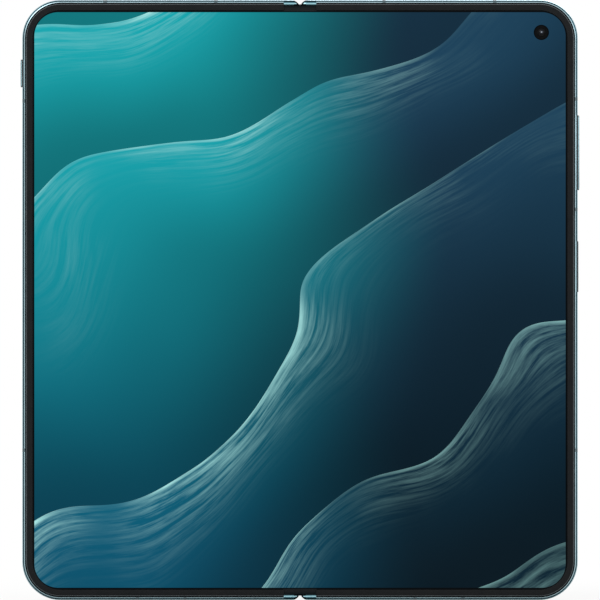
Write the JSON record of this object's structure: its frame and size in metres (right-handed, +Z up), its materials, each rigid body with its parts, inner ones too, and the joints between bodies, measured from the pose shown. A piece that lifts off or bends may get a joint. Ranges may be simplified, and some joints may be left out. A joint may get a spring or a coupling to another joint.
{
  "type": "foldable smartphone",
  "caption": "Book-style folding phone, drawn open: two thin metal-framed halves, one flexible inner screen, a geared hinge spine, cover screen and round camera island.",
  "frame": {"origin": "centre of the box's bottom, on the fold line between the two halves, with the phone open and upright", "axes": "+X right across the open screen, +Y from the inner screen towards the backs, +Z up along the fold"},
  "size_m": [0.143, 0.0088, 0.1534],
  "materials": {
    "frame_metal": "fine bead-blasted, anodised pale green",
    "key_metal": "anodised to match the frame",
    "antenna_plastic": "moulded, flush with the frame",
    "bezel_plastic": "fine satin moulding",
    "screen": "lit flexible display under a clear film",
    "cover_screen_glass": "polished black cover glass",
    "back_glass": "satin etched glass over a green coat",
    "island_metal": "turned ring, fine satin",
    "island_glass": "polished black glass",
    "lens_metal": "turned, polished edge",
    "lens_glass": "coated dark lens glass",
    "flash_lens": "clear ribbed window over a pale diode",
    "steel": "stamped, plain",
    "spine_metal": "satin, coated to match the frame",
    "dark_metal": "sintered, dark",
    "screw_steel": "black-coated",
    "board": "glass-fibre board, green mask",
    "battery_foil": "dark laminated foil",
    "copper": "bare wound copper",
    "module_plastic": "black moulded",
    "switch_brass": "plated",
    "magnet_metal": "nickel plated",
    "washer_steel": "spring steel"
  },
  "bodies": {
    "right_half": {"right_frame": "frame_metal", "right_antenna_bands": "antenna_plastic", "right_bezel": "bezel_plastic", "display_right": "screen", "right_support_plate": "steel", "back_glass": "back_glass", "island_base": "island_metal", "island_glass": "island_glass", "lens_rings": "lens_metal", "lens_glasses": "lens_glass", "camera_modules": "module_plastic", "flash_window": "flash_lens", "main_board": "board", "board_shields": "steel", "board_screws": "screw_steel", "right_battery": "battery_foil", "charging_coil": "copper", "usb_port": "steel", "loudspeaker": "module_plastic", "vibration_motor": "steel", "inner_camera": "module_plastic", "inner_camera_lens": "lens_glass", "key_switches": "switch_brass", "sim_socket": "steel", "right_magnets": "magnet_metal", "right_swing_arms": "dark_metal", "right_hinge_screws": "screw_steel"},
    "spine": {"hinge_spine": "spine_metal", "spine_end_caps": "module_plastic", "hinge_bases": "dark_metal", "hinge_base_screws": "screw_steel", "friction_washers": "washer_steel", "display_fold": "screen"},
    "left_half": {"left_frame": "frame_metal", "left_antenna_bands": "antenna_plastic", "left_bezel": "bezel_plastic", "display_left": "screen", "left_support_plate": "steel", "cover_glass": "cover_screen_glass", "cover_display": "module_plastic", "cover_camera": "module_plastic", "left_battery": "battery_foil", "left_board": "board", "left_board_shields": "steel", "earpiece_speaker": "module_plastic", "slider_switch": "module_plastic", "left_magnets": "magnet_metal", "left_swing_arms": "dark_metal", "left_hinge_screws": "screw_steel"},
    "right_wing": {"right_wing_plate": "steel"},
    "left_wing": {"left_wing_plate": "steel"},
    "right_idlers": {"right_idler_gears": "steel"},
    "left_idlers": {"left_idler_gears": "steel"},
    "volume_rocker": {"volume_rocker": "key_metal"},
    "power_button": {"power_button": "key_metal"},
    "alert_slider": {"alert_slider": "key_metal"},
    "sim_tray": {"sim_tray": "key_metal"}
  },
  "joints": [
    {"name": "fold", "type": "hinge", "parent": "right_half", "child": "spine", "pos_m": [0.00145, -0.00295, 0.0767], "axis": [0, 0, 1], "range_deg": [0, 90], "deforming": ["display_fold"]},
    {"name": "left_fold", "type": "hinge", "parent": "spine", "child": "left_half", "pos_m": [-0.00145, -0.00295, 0.0767], "axis": [0, 0, 1], "range_deg": [0, 90]},
    {"name": "right_wing_tilt", "type": "hinge", "parent": "right_half", "child": "right_wing", "pos_m": [0.0094, -0.00305, 0.0767], "axis": [0, 0, 1], "range_deg": [-12, 0]},
    {"name": "left_wing_tilt", "type": "hinge", "parent": "left_half", "child": "left_wing", "pos_m": [-0.0094, -0.00305, 0.0767], "axis": [0, 0, 1], "range_deg": [0, 12]},
    {"name": "right_idler_spin", "type": "hinge", "parent": "spine", "child": "right_idlers", "pos_m": [0.00057, -0.00082, 0.0767], "axis": [0, 0, 1], "range_deg": [0, 270]},
    {"name": "left_idler_spin", "type": "hinge", "parent": "spine", "child": "left_idlers", "pos_m": [-0.00057, -0.00082, 0.0767], "axis": [0, 0, 1], "range_deg": [-270, 0]},
    {"name": "volume_rock", "type": "hinge", "parent": "right_half", "child": "volume_rocker", "pos_m": [0.07, -0.00145, 0.1144], "axis": [0, 1, 0], "range_deg": [-1.2, 1.2], "stiffness_Nm_per_rad": 0.02},
    {"name": "power_press", "type": "slide", "parent": "right_half", "child": "power_button", "axis": [-1, 0, 0], "range_m": [0, 0.0002], "stiffness_N_per_m": 200, "springref_m": -0.004},
    {"name": "alert_slide", "type": "slide", "parent": "left_half", "child": "alert_slider", "axis": [0, 0, 1], "range_m": [-0.0015, 0.0015]},
    {"name": "sim_slide", "type": "slide", "parent": "right_half", "child": "sim_tray", "axis": [0, 0, -1], "range_m": [0, 0.0142]}
  ],
  "couplings": [
    {"joint": "left_fold", "follows": "fold", "ratio": 1},
    {"joint": "right_wing_tilt", "follows": "fold", "ratio": -0.13333},
    {"joint": "left_wing_tilt", "follows": "fold", "ratio": 0.13333},
    {"joint": "right_idler_spin", "follows": "fold", "ratio": 3},
    {"joint": "left_idler_spin", "follows": "fold", "ratio": -3}
  ]
}
